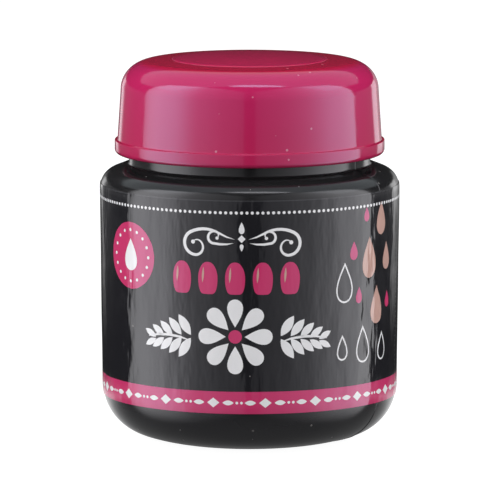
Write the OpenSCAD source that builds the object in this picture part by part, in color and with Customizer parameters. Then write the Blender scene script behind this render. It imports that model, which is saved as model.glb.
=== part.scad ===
// Sponge jar for nail polish remover: a squat round jar with a screw lid,
// and a foam sponge inside with a hole for a finger.
// Millimetres, +Z up, origin at the middle of the rest face.

/* [Jar body] */
// Diameter of the body just under the shoulder
body_d = 57.9; // [48:0.1:90]
// How much narrower the body is at the heel than under the shoulder
body_draft = 0.86; // [0:0.02:2]
// Height from the rest face to the root of the neck
body_h = 53.9; // [40:0.1:90]
// Wall of the jar body
body_wall = 1.1; // [0.8:0.1:2]
// Radius of the rounded heel
heel_r = 9.8; // [5:0.1:11]
// Radius of the slow curve between the heel and the rest ring
bottom_r = 31; // [20:1:60]
// Distance from the side of the body in to the rest ring
heel_reach = 16.5; // [12:0.1:18]
// Width of the flat ring that the jar stands on
rest_w = 1.6; // [0.8:0.1:3]
// Rise of the pushed-up middle of the base
pushup_h = 1.4; // [0.5:0.1:2.5]
// Radius of the shoulder's rounded edge
shoulder_r = 3.6; // [2.4:0.1:5]
// Slope of the shoulder, in degrees from level
shoulder_slope = 19; // [8:1:30]
// Width of the shoulder, from the side of the body in to the collar
shoulder_w = 5.55; // [4.2:0.05:9]

/* [Neck] */
// How far the plain collar stands out from the neck
collar_out = 0.85; // [0.6:0.05:2]
// Height of the collar above the root of the neck
collar_h = 3.4; // [2.6:0.1:5]
// Wall of the neck
neck_wall = 1.75; // [1.2:0.05:2.5]
// Height from the root of the neck to the rim of the mouth
neck_h = 15; // [12:0.1:22]
// Fillet where the collar meets the shoulder
root_fillet = 0.5; // [0.2:0.1:0.9]
// Rounding on the rim of the mouth
mouth_round = 0.45; // [0.2:0.05:0.55]

/* [Label] */
// Thickness of the wrap label
label_t = 0.12; // [0.08:0.01:0.3]
// Height of the label's lower edge above the rest face
label_z0 = 9.1; // [7:0.1:20]
// Distance from the label's upper edge up to the root of the neck
label_drop = 3.7; // [3.4:0.1:12]

/* [Sponge] */
// Room between the sponge and the side of the jar
side_room = 1.4; // [0.4:0.1:4]
// Room between the sponge and the floor of the jar
floor_room = 0.35; // [0.2:0.05:1]
// Distance from the sponge's top up to the root of the neck
sponge_drop = 6.4; // [5.5:0.1:20]
// Diameter of the finger hole
hole_d = 15; // [10:0.5:20]
// Foam left under the finger hole
hole_floor = 9; // [5:0.5:20]
// Rounding of the foam's edges
foam_round = 2; // [0.5:0.1:3]
// Reach of each slit from the edge of the finger hole
slit_reach = 8; // [2:0.5:12]
// Width of a slit
slit_w = 0.8; // [0.4:0.1:2]
// Number of slits round the finger hole
slit_count = 4; // [0:1:8]

/* [Seal and liner] */
// Thickness of the foil seal
seal_t = 0.2; // [0.1:0.05:0.4]
// Thickness of the half-moon lift tab on the seal
tab_t = 0.1; // [0.1:0.05:0.3]
// Distance of the tab's fold from the middle of the seal
tab_fold = 3; // [0:0.5:10]
// Thickness of the foam liner in the lid
liner_t = 1; // [0.6:0.1:2]
// How far the liner reaches past the neck
liner_over = 0.35; // [0.2:0.05:0.6]
// Room between the stacked mouth, seal, liner and lid
stack_gap = 0.05; // [0.02:0.01:0.1]

/* [Lid] */
// Height of the lid's lower edge above the root of the neck
rim_gap = 1.95; // [1.2:0.05:2.5]
// Room between the collar and the lid's skirt, on the radius
collar_gap = 0.85; // [0.2:0.05:1.2]
// Wall of the skirt at its lower end
skirt_wall = 1.35; // [1:0.05:2]
// How much narrower the skirt is at the crown
skirt_draft = 1.26; // [0:0.02:1.8]
// How far the flange stands out from the skirt
flange_out = 0.55; // [0.3:0.05:1.5]
// Height of the flange
flange_h = 2.7; // [1.8:0.1:4]
// Rounding of the flange's lower edge
flange_round = 0.9; // [0.3:0.1:1.1]
// Distance from the seat of the liner down to where the crown begins to curve
crown_drop = 2; // [0.5:0.1:2.6]
// Reach of the crown's curve inwards
crown_r = 6; // [3:0.1:9]
// Height of the crown's curve
crown_h = 5.5; // [4.4:0.1:8]
// Rise of the lid's top from the crown to the middle
dome_h = 0.6; // [0.2:0.1:3]
// Wall of the lid's crown and top
lid_wall = 1.4; // [1:0.1:1.6]
// Width of the ring that the liner seats against
seat_w = 2; // [1:0.1:4]
// Room round the edge of the liner
liner_room = 0.15; // [0.1:0.05:0.3]
// Diameter of the clear disc on the lid
disc_d = 30; // [10:0.5:36]
// Thickness of the clear disc
disc_t = 0.08; // [0.05:0.01:0.3]
// Small bevel on the collar's and the flange's upper edges
edge_break = 0.3; // [0.1:0.05:0.4]

/* [Hidden] */
$fn = 96;
arc_step = 6; // degrees between the points of an arc
cap_steps = 6; // chords along the shallow caps of the base and the lid
eps = 0.01;

// Radii of the jar, from the side of the body in to the mouth
r_top = body_d / 2;
r_heel = r_top - body_draft / 2;
r_rest = r_heel - heel_reach;
r_pushup = r_rest - rest_w;
r_collar = r_top - shoulder_w;
r_neck = r_collar - collar_out;
r_mouth = r_neck - neck_wall;
// The slow bottom curve runs into the heel at this angle
bottom_angle = asin((heel_reach - heel_r) / (bottom_r - heel_r));
heel_z = bottom_r - (bottom_r - heel_r) * cos(bottom_angle);
// The push-up is part of a ball that passes the inner edge of the rest ring
pushup_ball = (r_pushup * r_pushup + pushup_h * pushup_h) / (2 * pushup_h);
// The shoulder's rounded edge sits so that its slope ends at the root of the neck
shoulder_turn = 90 - shoulder_slope;
shoulder_run = shoulder_w - shoulder_r + shoulder_r * cos(shoulder_turn);
shoulder_z = body_h - shoulder_run * tan(shoulder_slope) - shoulder_r * sin(shoulder_turn);
// The stack over the mouth: seal, tab, liner, and then the lid's seat
mouth_z = body_h + neck_h;
seal_z = mouth_z + stack_gap;
liner_z = seal_z + seal_t + tab_t + stack_gap;
seat_z = liner_z + liner_t + stack_gap;
r_liner = r_neck + liner_over;
// The lid closes over the collar
rim_z = body_h + rim_gap;
r_inside = r_collar + collar_gap;
r_skirt = r_inside + skirt_wall;
r_flange = r_skirt + flange_out;
r_crown = r_skirt - skirt_draft / 2;
crown_z = seat_z - crown_drop;
r_dome = r_crown - crown_r;
top_z = crown_z + crown_h + dome_h;
dome_ball = (r_dome * r_dome + dome_h * dome_h) / (2 * dome_h);

// Points of an arc about [cr, cz] from angle a0 to a1, with radius rr across and rz up
function arc(cr, cz, rr, rz, a0, a1) =
    let (n = max(1, ceil(abs(a1 - a0) / arc_step)))
    [for (i = [0:n]) let (a = a0 + (a1 - a0) * i / n) [cr + rr * cos(a), cz + rz * sin(a)]];

// A rounded corner of one radius
function corner(cr, cz, r, a0, a1) = arc(cr, cz, r, r, a0, a1);

// Points of a shallow cap of a ball whose top is on the axis at height z, from radius a to radius b
function cap(ball, z, a, b) =
    [for (i = [0:cap_steps])
        let (r = a + (b - a) * i / cap_steps)
        [r, z - ball + sqrt(ball * ball - r * r)]];

// The jar's outline from the middle of the base up to the shoulder, set in by t
function body_side(t) = concat(
    cap(pushup_ball + t, pushup_h + t, 0, r_pushup),
    corner(r_rest, bottom_r, bottom_r - t, -90, bottom_angle - 90),
    corner(r_heel - heel_r, heel_z, heel_r - t, bottom_angle - 90, 0),
    corner(r_top - shoulder_r, shoulder_z, shoulder_r - t, 0, shoulder_turn));

// Height of the shoulder's slope at radius r, set in by t
function slope_z(r, t) =
    let (reach = shoulder_r - t)
    shoulder_z + reach * sin(shoulder_turn)
        + (r_top - shoulder_r + reach * cos(shoulder_turn) - r) * tan(shoulder_slope);

module body_outline(t) {
    polygon(concat(body_side(t), [[0, slope_z(0, t)]]));
}

module neck_outline() {
    fillet_r = r_collar + root_fillet;
    fillet_z = slope_z(fillet_r, 0) + root_fillet / cos(shoulder_slope);
    root_z = body_h - body_wall;
    step_z = body_h + collar_h;
    lip_z = mouth_z - mouth_round;
    polygon(concat(
        [[r_mouth, root_z], [fillet_r, root_z]],
        corner(fillet_r, fillet_z, root_fillet, 270 - shoulder_slope, 180),
        [[r_collar, step_z - edge_break], [r_collar - edge_break, step_z], [r_neck, step_z]],
        corner(r_neck - mouth_round, lip_z, mouth_round, 0, 90),
        corner(r_mouth + mouth_round, lip_z, mouth_round, 90, 180)));
}

module jar() {
    color("#1c1c1e") rotate_extrude() difference() {
        union() {
            difference() {
                body_outline(0);
                translate([0, body_h]) square([r_mouth, neck_h]);
            }
            neck_outline();
        }
        body_outline(body_wall);
        translate([0, shoulder_z]) square([r_mouth, mouth_z]);
    }
}

module label() {
    color("#3a3a3d") rotate_extrude() intersection() {
        difference() {
            translate([label_t, 0]) body_outline(0);
            body_outline(0);
        }
        translate([r_rest, label_z0]) square([r_top, body_h - label_drop - label_z0]);
    }
}

module sponge_outline() {
    r_sponge = r_heel - body_wall - side_room;
    r_hole = hole_d / 2;
    foam_top = body_h - sponge_drop;
    hole_z = pushup_h + body_wall + floor_room + hole_floor;
    edge_z = foam_top - foam_round;
    intersection() {
        body_outline(body_wall + floor_room);
        polygon(concat(
            [[0, 0], [r_sponge, 0]],
            corner(r_sponge - foam_round, edge_z, foam_round, 0, 90),
            corner(r_hole + foam_round, edge_z, foam_round, 90, 180),
            corner(r_hole - foam_round, hole_z + foam_round, foam_round, 0, -90),
            [[0, hole_z]]));
    }
}

module sponge() {
    r_in = hole_d / 2 - foam_round;
    slit_z = pushup_h + body_wall + floor_room + hole_floor + foam_round;
    color("#e9a6bf") difference() {
        rotate_extrude() sponge_outline();
        for (i = [0:1:slit_count - 1])
            rotate(45 + 360 * i / slit_count)
                translate([r_in, -slit_w / 2, slit_z])
                    cube([slit_reach + foam_round, slit_w, body_h]);
    }
}

module foil_seal() {
    color("#cfd2d6") translate([0, 0, seal_z]) {
        cylinder(r = r_neck, h = seal_t);
        translate([0, 0, seal_t - eps]) linear_extrude(tab_t + eps) intersection() {
            circle(r = r_neck);
            translate([-r_neck, tab_fold]) square([2 * r_neck, r_neck]);
        }
    }
}

module lid_liner() {
    color("#f2f1ee") translate([0, 0, liner_z]) cylinder(r = r_liner, h = liner_t);
}

module lid_outline() {
    flange_z = rim_z + flange_h;
    polygon(concat(
        [[0, rim_z]],
        corner(r_flange - flange_round, rim_z + flange_round, flange_round, -90, 0),
        [[r_flange, flange_z - edge_break], [r_flange - edge_break / 2, flange_z], [r_skirt, flange_z]],
        arc(r_dome, crown_z, crown_r, crown_h, 0, 84),
        cap(dome_ball, top_z, r_dome, 0)));
}

module lid_inside() {
    r_room = r_liner + liner_room;
    r_seat = r_liner - seat_w;
    polygon(concat(
        [[0, rim_z - eps], [r_inside + edge_break, rim_z - eps], [r_inside + edge_break, rim_z]],
        [[r_inside, rim_z + 2 * edge_break], [r_crown - lid_wall, crown_z - edge_break]],
        [[r_room, liner_z], [r_room, seat_z], [r_seat, seat_z]],
        cap(dome_ball - lid_wall, top_z - lid_wall, r_seat, 0)));
}

module lid() {
    color("#c2245f") rotate_extrude() difference() {
        lid_outline();
        lid_inside();
    }
}

module lid_disc() {
    color("#d63a72") rotate_extrude() intersection() {
        difference() {
            translate([0, disc_t]) lid_outline();
            lid_outline();
        }
        translate([0, seat_z]) square([disc_d / 2, top_z]);
    }
}

jar();
label();
sponge();
foil_seal();
lid_liner();
lid();
lid_disc();
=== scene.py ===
import math
import bmesh
import bpy
from mathutils import Matrix, Vector, noise


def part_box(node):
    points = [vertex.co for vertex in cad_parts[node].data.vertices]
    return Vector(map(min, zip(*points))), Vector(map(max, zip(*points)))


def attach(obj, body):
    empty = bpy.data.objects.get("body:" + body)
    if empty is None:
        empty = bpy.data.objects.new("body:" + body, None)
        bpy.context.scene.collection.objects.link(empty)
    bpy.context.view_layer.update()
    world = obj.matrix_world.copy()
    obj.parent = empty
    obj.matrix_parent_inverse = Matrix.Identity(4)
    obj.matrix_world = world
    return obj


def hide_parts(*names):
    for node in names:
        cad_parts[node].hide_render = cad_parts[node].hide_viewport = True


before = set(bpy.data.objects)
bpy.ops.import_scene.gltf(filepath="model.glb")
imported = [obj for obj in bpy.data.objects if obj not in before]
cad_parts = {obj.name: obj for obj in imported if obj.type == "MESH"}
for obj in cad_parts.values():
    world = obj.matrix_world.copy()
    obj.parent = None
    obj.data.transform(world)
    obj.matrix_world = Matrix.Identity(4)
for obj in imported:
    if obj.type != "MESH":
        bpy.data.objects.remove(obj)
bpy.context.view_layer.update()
mm = 0.001
weld = 0.001 * mm

# The main sizes come from the frame, so the looks follow the parts
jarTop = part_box("jar")[1]
labelLow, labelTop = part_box("label")
spongeLow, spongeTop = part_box("sponge")
sealLow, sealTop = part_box("foil_seal")
linerLow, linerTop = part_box("lid_liner")
lidLow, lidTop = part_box("lid")
discLow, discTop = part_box("lid_disc")


def addObject(name, data):
    made = bpy.data.objects.new(name, data)
    bpy.context.scene.collection.objects.link(made)
    return made


def meshFrom(bm, name):
    mesh = bpy.data.meshes.new(name)
    bm.to_mesh(mesh)
    bm.free()
    return mesh


def vertsOf(geom):
    return [g for g in geom if isinstance(g, bmesh.types.BMVert)]


def allOf(bm):
    return bm.verts[:] + bm.edges[:] + bm.faces[:]


def rotateAll(bm, degrees):
    bmesh.ops.rotate(
        bm, verts=bm.verts[:], cent=(0, 0, 0), matrix=Matrix.Rotation(math.radians(degrees), 3, "Z"))


def clamp(value):
    return min(1.0, max(0.0, value))


# A pen draws half a section, in radius and height, and spinRound turns it about the jar's axis
def startPen(radius, height):
    bm = bmesh.new()
    return bm, bm.verts.new((radius, 0, height))


def lineTo(bm, vert, radius, height):
    end = bmesh.ops.extrude_vert_indiv(bm, verts=[vert])["verts"][0]
    end.co = (radius, 0, height)
    return end


def linesTo(bm, vert, *points):
    for radius, height in points:
        vert = lineTo(bm, vert, radius, height)
    return vert


def arcAbout(bm, vert, radius, height, degrees, steps, rise=1.0):
    # rise below 1 flattens the arc into part of an ellipse
    before = set(bm.verts)
    out = bmesh.ops.spin(
        bm, geom=[vert], cent=(radius, 0, height), axis=(0, -1, 0), angle=math.radians(degrees), steps=steps)
    for v in set(bm.verts) - before:
        v.co.z = height + (v.co.z - height) * rise
    return vertsOf(out["geom_last"])[0]


def spinRound(bm, steps, degrees=360):
    whole = degrees == 360
    bmesh.ops.spin(
        bm, geom=bm.verts[:] + bm.edges[:], cent=(0, 0, 0), axis=(0, 0, 1),
        angle=math.radians(degrees), steps=steps, use_merge=whole)
    bmesh.ops.remove_doubles(bm, verts=bm.verts[:], dist=weld)


def makePiece(bm, name, material, body, sharpAngle=35, recalc=True):
    if recalc:
        bmesh.ops.recalc_face_normals(bm, faces=bm.faces[:])
    limit = math.radians(sharpAngle)
    for face in bm.faces:
        face.smooth = True
    for edge in bm.edges:
        edge.smooth = len(edge.link_faces) == 2 and edge.calc_face_angle(0) < limit
    piece = addObject(name, meshFrom(bm, name))
    piece.data.materials.append(material)
    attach(piece, body)
    return piece


# Shader groups that several finishes share


def newGroup(name, inputs, outputs):
    group = bpy.data.node_groups.new(name, "ShaderNodeTree")
    for label, kind, value in inputs:
        socket = group.interface.new_socket(label, in_out="INPUT", socket_type=kind)
        if value is not None:
            socket.default_value = value
    for label, kind in outputs:
        group.interface.new_socket(label, in_out="OUTPUT", socket_type=kind)
    start = group.nodes.new("NodeGroupInput")
    end = group.nodes.new("NodeGroupOutput")
    return group, start, end


def mathNode(tree, operation, first, second=None):
    node = tree.nodes.new("ShaderNodeMath")
    node.operation = operation
    for slot, value in enumerate((first, second)):
        if isinstance(value, bpy.types.NodeSocket):
            tree.links.new(value, node.inputs[slot])
        elif value is not None:
            node.inputs[slot].default_value = value
    return node.outputs[0]


def ramp(tree, source, low, high):
    node = tree.nodes.new("ShaderNodeMapRange")
    node.interpolation_type = "SMOOTHSTEP"
    node.inputs["From Min"].default_value = low
    node.inputs["From Max"].default_value = high
    tree.links.new(source, node.inputs["Value"])
    return node.outputs["Result"]


def partsOf(tree, vector):
    node = tree.nodes.new("ShaderNodeSeparateXYZ")
    tree.links.new(vector, node.inputs[0])
    return node.outputs


def buildDustSpecks():
    # A few specks of dust: small dots in cells picked by their random colour
    group, start, end = newGroup(
        "dustSpecks",
        [("Vector", "NodeSocketVector", None), ("Scale", "NodeSocketFloat", 300.0),
         ("Share", "NodeSocketFloat", 0.05), ("Size", "NodeSocketFloat", 0.2)],
        [("Mask", "NodeSocketFloat")])
    cells = group.nodes.new("ShaderNodeTexVoronoi")
    group.links.new(start.outputs["Vector"], cells.inputs["Vector"])
    group.links.new(start.outputs["Scale"], cells.inputs["Scale"])
    pick = group.nodes.new("ShaderNodeSeparateColor")
    group.links.new(cells.outputs["Color"], pick.inputs["Color"])
    chosen = mathNode(group, "LESS_THAN", pick.outputs["Red"], start.outputs["Share"])
    small = mathNode(group, "MULTIPLY", start.outputs["Size"], pick.outputs["Green"])
    near = mathNode(group, "LESS_THAN", cells.outputs["Distance"], small)
    group.links.new(mathNode(group, "MULTIPLY", chosen, near), end.inputs["Mask"])
    return group


skinNoise = {"slowDetail": 3.0, "fineDetail": 2.0, "fineShare": 0.12}


def buildMouldedSkin():
    # Slow unevenness of a moulded skin: a tone, and a height for a bump
    group, start, end = newGroup(
        "mouldedSkin",
        [("Vector", "NodeSocketVector", None), ("Scale", "NodeSocketFloat", 60.0),
         ("Fine", "NodeSocketFloat", 900.0)],
        [("Tone", "NodeSocketFloat"), ("Height", "NodeSocketFloat")])
    waves = []
    for scale, detail in (("Scale", skinNoise["slowDetail"]), ("Fine", skinNoise["fineDetail"])):
        node = group.nodes.new("ShaderNodeTexNoise")
        node.inputs["Detail"].default_value = detail
        group.links.new(start.outputs["Vector"], node.inputs["Vector"])
        group.links.new(start.outputs[scale], node.inputs["Scale"])
        waves.append(node.outputs["Fac"])
    slow, fine = waves
    group.links.new(slow, end.inputs["Tone"])
    faint = mathNode(group, "MULTIPLY", fine, skinNoise["fineShare"])
    group.links.new(mathNode(group, "ADD", slow, faint), end.inputs["Height"])
    return group


dustSpecks = buildDustSpecks()
mouldedSkin = buildMouldedSkin()


def mapped(tree, scale=(1, 1, 1), turn=(0, 0, 0)):
    place = tree.nodes.new("ShaderNodeTexCoord")
    mapping = tree.nodes.new("ShaderNodeMapping")
    mapping.inputs["Scale"].default_value = scale
    mapping.inputs["Rotation"].default_value = [math.radians(a) for a in turn]
    tree.links.new(place.outputs["Object"], mapping.inputs["Vector"])
    return mapping.outputs["Vector"]


def mixColour(tree, mask, first, second):
    node = tree.nodes.new("ShaderNodeMix")
    node.data_type = "RGBA"
    tree.links.new(mask, node.inputs["Factor"])
    for socket, value in ((node.inputs["A"], first), (node.inputs["B"], second)):
        if isinstance(value, bpy.types.NodeSocket):
            tree.links.new(value, socket)
        else:
            socket.default_value = (*value, 1)
    return node.outputs["Result"]


def placeGroup(tree, group, vector, **values):
    node = tree.nodes.new("ShaderNodeGroup")
    node.node_tree = group
    tree.links.new(vector, node.inputs["Vector"])
    for label, value in values.items():
        node.inputs[label].default_value = value
    return node


def newMaterial(name, values):
    material = bpy.data.materials.new(name)
    material.use_nodes = True
    shader = material.node_tree.nodes["Principled BSDF"]
    for label, value in values.items():
        shader.inputs[label].default_value = value
    return material, material.node_tree, shader


def addBump(tree, shader, height, strength, distance):
    bump = tree.nodes.new("ShaderNodeBump")
    bump.inputs["Strength"].default_value = strength
    bump.inputs["Distance"].default_value = distance
    tree.links.new(height, bump.inputs["Height"])
    tree.links.new(bump.outputs["Normal"], shader.inputs["Normal"])


def cellPattern(tree, vector, scale, feature="F1"):
    cells = tree.nodes.new("ShaderNodeTexVoronoi")
    cells.feature = feature
    cells.inputs["Scale"].default_value = scale
    tree.links.new(vector, cells.inputs["Vector"])
    return cells.outputs["Distance"]


def glossPlastic(name, look):
    material, tree, shader = newMaterial(
        name, {"IOR": look["ior"], "Specular Tint": (*look["sheen"], 1)})
    plain = mapped(tree)
    skin = placeGroup(tree, mouldedSkin, plain, Scale=look["waveScale"], Fine=look["grainScale"])
    dust = placeGroup(
        tree, dustSpecks, plain, Scale=look["dustScale"], Share=look["dustShare"], Size=look["dustSize"])
    hairline = placeGroup(
        tree, dustSpecks, mapped(tree, look["scratchStretch"], look["scratchTurn"]),
        Scale=look["scratchScale"], Share=look["scratchShare"], Size=look["scratchSize"])
    marks = mathNode(tree, "MAXIMUM", dust.outputs["Mask"], hairline.outputs["Mask"])
    mottle = ramp(tree, skin.outputs["Tone"], *look["toneRange"])
    toned = mixColour(tree, mottle, look["colour"], look["tone"])
    if "paintedCrownLight" in look:
        # Painted light: the colour turns lighter with height on the lid
        raised = ramp(tree, partsOf(tree, plain)["Z"], *look["paintedCrownLightRange"])
        toned = mixColour(tree, raised, toned, look["paintedCrownLight"])
        # Painted shade: faces that point up are mixed to a deeper red
        form = tree.nodes.new("ShaderNodeNewGeometry")
        flat = ramp(tree, partsOf(tree, form.outputs["Normal"])["Z"], *look["paintedTopShadeRange"])
        toned = mixColour(tree, flat, toned, look["paintedTopShade"])
    soft = mathNode(tree, "MULTIPLY", marks, look["markStrength"])
    tree.links.new(mixColour(tree, soft, toned, look["markColour"]), shader.inputs["Base Color"])
    rough = tree.nodes.new("ShaderNodeMapRange")
    rough.inputs["To Min"].default_value = look["roughness"]
    rough.inputs["To Max"].default_value = look["roughness"] + look["roughSpread"]
    tree.links.new(skin.outputs["Tone"], rough.inputs["Value"])
    worn = mathNode(tree, "MULTIPLY", marks, look["markRoughness"])
    tree.links.new(mathNode(tree, "ADD", rough.outputs["Result"], worn), shader.inputs["Roughness"])
    height = skin.outputs["Height"]
    if "creaseScale" in look:
        # Film that was stretched on has fine upright creases
        folds = placeGroup(tree, mouldedSkin, mapped(tree, look["creaseStretch"]), Scale=look["creaseScale"])
        deep = mathNode(tree, "MULTIPLY", folds.outputs["Tone"], look["creaseDepth"])
        height = mathNode(tree, "ADD", height, deep)
    addBump(tree, shader, height, look["bump"], look["bumpDepth"])
    return material


glossLook = {
    "ior": 1.5, "sheen": (1, 0.99, 1.05), "waveScale": 60.0, "grainScale": 900.0, "toneRange": (0.3, 0.7),
    "roughness": 0.1, "roughSpread": 0.05, "bump": 0.12, "bumpDepth": 0.1 * mm,
    "dustScale": 450.0, "dustShare": 0.03, "dustSize": 0.16,
    "scratchScale": 420.0, "scratchShare": 0.012, "scratchSize": 0.12,
    "scratchStretch": (1, 1, 0.06), "scratchTurn": (12, 25, 0),
    "markColour": (0.5, 0.47, 0.46), "markStrength": 0.5, "markRoughness": 0.3,
}
blackPlastic = glossPlastic("blackJarPlastic", {
    **glossLook, "colour": (0.014, 0.0138, 0.015), "tone": (0.0165, 0.016, 0.017),
    "roughness": 0.13, "markStrength": 0.35, "dustShare": 0.3, "dustSize": 0.12})
# The lid's colour is painted lighter towards its crown, a painted light, and deeper red on faces that point
# up, a painted shade
pinkPlastic = glossPlastic("pinkLidPlastic", {
    **glossLook, "colour": (0.48, 0.0168, 0.089), "tone": (0.495, 0.0185, 0.095),
    "paintedCrownLight": (0.54, 0.0188, 0.114), "paintedCrownLightRange": (57 * mm, 72 * mm),
    "paintedTopShade": (0.56, 0.0095, 0.06), "paintedTopShadeRange": (0.88, 0.985),
    "roughness": 0.07, "bump": 0.08, "markColour": (0.8, 0.5, 0.6), "sheen": (0.5, 1, 1.5),
    "dustShare": 0.4, "dustSize": 0.12, "markStrength": 0.4})
filmLook = {
    **glossLook, "roughness": 0.06, "waveScale": 35.0, "bump": 0.2,
    "creaseScale": 230.0, "creaseDepth": 15.0, "creaseStretch": (1, 1, 0.3)}
blackFilm = glossPlastic("blackLabelFilm", {
    **filmLook, "colour": (0.014, 0.0137, 0.0168), "tone": (0.016, 0.0157, 0.0188), "markStrength": 0.35})
pinkInk = glossPlastic("pinkInk", {
    **filmLook, "colour": (0.62, 0.04, 0.152), "tone": (0.64, 0.044, 0.16), "sheen": (0.7, 1, 1.35)})
cleanLook = {**filmLook, "markStrength": 0.0}
whiteInk = glossPlastic("whiteInk", {
    **cleanLook, "colour": (0.89, 0.88, 0.905), "tone": (0.92, 0.91, 0.935), "roughness": 0.08})
blushInk = glossPlastic("blushInk", {
    **cleanLook, "colour": (0.58, 0.35, 0.3), "tone": (0.63, 0.39, 0.34), "roughness": 0.08})
greyInk = glossPlastic("greyInk", {**cleanLook, "colour": (0.1, 0.1, 0.105), "tone": (0.13, 0.13, 0.135)})
# A dark grey a little lighter than the film, for the painted highlight along the label's top edge
edgeHighlightFilm = glossPlastic("edgeHighlightFilm", {
    **cleanLook, "colour": (0.034, 0.0335, 0.038), "tone": (0.04, 0.0395, 0.044)})

# The jar: one profile from the push-up of the base round the wall and back inside

jarBody = {
    "radius": jarTop.x,
    "draft": 0.43 * mm,
    "wall": 1.1 * mm,
    "heelRadius": 9.8 * mm,
    "bottomRadius": 31 * mm,
    "heelReach": 16.5 * mm,
    "restWidth": 1.6 * mm,
    "pushUp": 1.4 * mm,
    "shoulderRadius": 3.6 * mm,
    "shoulderSlope": 19,
    "shoulderWidth": 5.55 * mm,
    "neckHeight": 15 * mm,
    "collarOut": 0.85 * mm,
    "collarHeight": 3.4 * mm,
    "neckWall": 1.75 * mm,
    "rootFillet": 0.5 * mm,
    "lipRadius": 0.45 * mm,
    "edgeBreak": 0.3 * mm,
    "steps": 192,
}


def jarSizes(b):
    s = dict(b)
    s["heelX"] = b["radius"] - b["draft"]
    s["restX"] = s["heelX"] - b["heelReach"]
    s["pushUpX"] = s["restX"] - b["restWidth"]
    s["collarX"] = b["radius"] - b["shoulderWidth"]
    s["neckX"] = s["collarX"] - b["collarOut"]
    s["mouthX"] = s["neckX"] - b["neckWall"]
    s["bottomTurn"] = math.asin((b["heelReach"] - b["heelRadius"]) / (b["bottomRadius"] - b["heelRadius"]))
    s["heelZ"] = b["bottomRadius"] - (b["bottomRadius"] - b["heelRadius"]) * math.cos(s["bottomTurn"])
    s["pushUpBall"] = (s["pushUpX"] ** 2 + b["pushUp"] ** 2) / (2 * b["pushUp"])
    s["shoulderTurn"] = 90 - b["shoulderSlope"]
    turn = math.radians(s["shoulderTurn"])
    run = b["shoulderWidth"] - b["shoulderRadius"] + b["shoulderRadius"] * math.cos(turn)
    s["slope"] = math.tan(math.radians(b["shoulderSlope"]))
    s["neckRoot"] = jarTop.z - b["neckHeight"]
    s["shoulderZ"] = s["neckRoot"] - run * s["slope"] - b["shoulderRadius"] * math.sin(turn)
    s["collarZ"] = s["neckRoot"] + b["collarHeight"]
    return s


jar = jarSizes(jarBody)


def slopeHeight(radius, inset):
    reach = jar["shoulderRadius"] - inset
    turn = math.radians(jar["shoulderTurn"])
    edge = jar["radius"] - jar["shoulderRadius"] + reach * math.cos(turn)
    return jar["shoulderZ"] + reach * math.sin(turn) + (edge - radius) * jar["slope"]


def drawOutside(bm, pen):
    # From the rest ring up to the upper edge of the collar
    turn = math.degrees(jar["bottomTurn"])
    pen = lineTo(bm, pen, jar["restX"], 0)
    pen = arcAbout(bm, pen, jar["restX"], jar["bottomRadius"], turn, 10)
    pen = arcAbout(bm, pen, jar["heelX"] - jar["heelRadius"], jar["heelZ"], 90 - turn, 28)
    for share in (0.25, 0.5, 0.75, 1):
        radius = jar["heelX"] + (jar["radius"] - jar["heelX"]) * share
        pen = lineTo(bm, pen, radius, jar["heelZ"] + (jar["shoulderZ"] - jar["heelZ"]) * share)
    edgeX = jar["radius"] - jar["shoulderRadius"]
    pen = arcAbout(bm, pen, edgeX, jar["shoulderZ"], jar["shoulderTurn"], 24)
    slope = math.radians(jar["shoulderSlope"])
    fillet = jar["rootFillet"]
    filletX = jar["collarX"] + fillet
    filletZ = slopeHeight(filletX, 0) + fillet / math.cos(slope)
    pen = lineTo(bm, pen, filletX + fillet * math.sin(slope), filletZ - fillet * math.cos(slope))
    pen = arcAbout(bm, pen, filletX, filletZ, -90 - jar["shoulderSlope"], 10)
    edge = jar["edgeBreak"]
    pen = lineTo(bm, pen, jar["collarX"], jar["collarZ"] - edge)
    return arcAbout(bm, pen, jar["collarX"] - edge, jar["collarZ"] - edge, 90, 5)


def makeJarShell():
    bm, pen = startPen(0, jar["pushUp"])
    capTurn = math.degrees(math.asin(jar["pushUpX"] / jar["pushUpBall"]))
    pen = arcAbout(bm, pen, 0, jar["pushUp"] - jar["pushUpBall"], -capTurn, 10)
    pen = drawOutside(bm, pen)
    lip = jar["lipRadius"]
    pen = lineTo(bm, pen, jar["neckX"], jar["collarZ"])
    pen = lineTo(bm, pen, jar["neckX"], jarTop.z - lip)
    pen = arcAbout(bm, pen, jar["neckX"] - lip, jarTop.z - lip, 90, 6)
    pen = lineTo(bm, pen, jar["mouthX"] + lip, jarTop.z)
    pen = arcAbout(bm, pen, jar["mouthX"] + lip, jarTop.z - lip, 90, 6)
    wall = jar["wall"]
    pen = lineTo(bm, pen, jar["mouthX"], slopeHeight(jar["mouthX"], wall))
    turn = math.radians(jar["shoulderTurn"])
    reach = jar["shoulderRadius"] - wall
    edgeX = jar["radius"] - jar["shoulderRadius"]
    pen = lineTo(bm, pen, edgeX + reach * math.cos(turn), jar["shoulderZ"] + reach * math.sin(turn))
    pen = arcAbout(bm, pen, edgeX, jar["shoulderZ"], -jar["shoulderTurn"], 14)
    pen = lineTo(bm, pen, jar["heelX"] - wall, jar["heelZ"])
    bottom = math.degrees(jar["bottomTurn"])
    pen = arcAbout(bm, pen, jar["heelX"] - jar["heelRadius"], jar["heelZ"], bottom - 90, 18)
    pen = arcAbout(bm, pen, jar["restX"], jar["bottomRadius"], -bottom, 8)
    pen = lineTo(bm, pen, jar["pushUpX"], wall)
    arcAbout(bm, pen, 0, jar["pushUp"] - jar["pushUpBall"], capTurn, 8)
    spinRound(bm, jar["steps"])
    shell = makePiece(bm, "jarShell", blackPlastic, "jar")
    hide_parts("jar")


makeJarShell()
print("jar shell made")

# The parting line that the halves of the mould leave on the jar

partingLine = {
    "azimuths": (60, -120), "width": 0.42, "height": 0.11 * mm, "start": 0.3 * mm, "sink": 0.01 * mm}


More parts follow.
